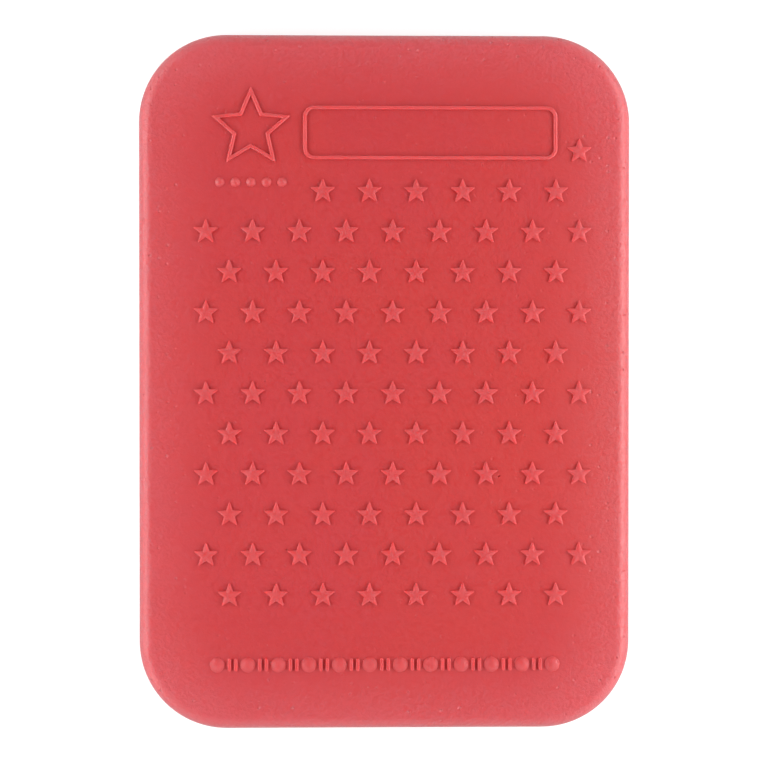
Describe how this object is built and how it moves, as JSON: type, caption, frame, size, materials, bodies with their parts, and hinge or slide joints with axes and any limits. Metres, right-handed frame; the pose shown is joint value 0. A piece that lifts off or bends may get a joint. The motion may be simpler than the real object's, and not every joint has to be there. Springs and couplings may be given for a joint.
{
  "type": "pin badge board",
  "caption": "Flat rubber board with rounded corners and a lattice of raised stars on its face, into which the posts of pin badges are pushed to store and show them.",
  "frame": {"origin": "middle of the board's outline, on its back face, with the board lying on its back", "axes": "+Z out of the front face, +Y towards the board's top edge, +X to the board's right as seen from the front"},
  "size_m": [0.178, 0.2516, 0.0135],
  "materials": {
    "red_rubber": "matte moulded rubber with a fine grain",
    "grey_sponge": "open sponge rubber",
    "white_plastic": "rolled sheet",
    "black_plastic": "fine grained sheet"
  },
  "bodies": {
    "root": {"face_shell": "red_rubber", "pin_core": "grey_sponge", "stiffener_sheet": "white_plastic", "back_panel": "black_plastic"}
  },
  "joints": []
}
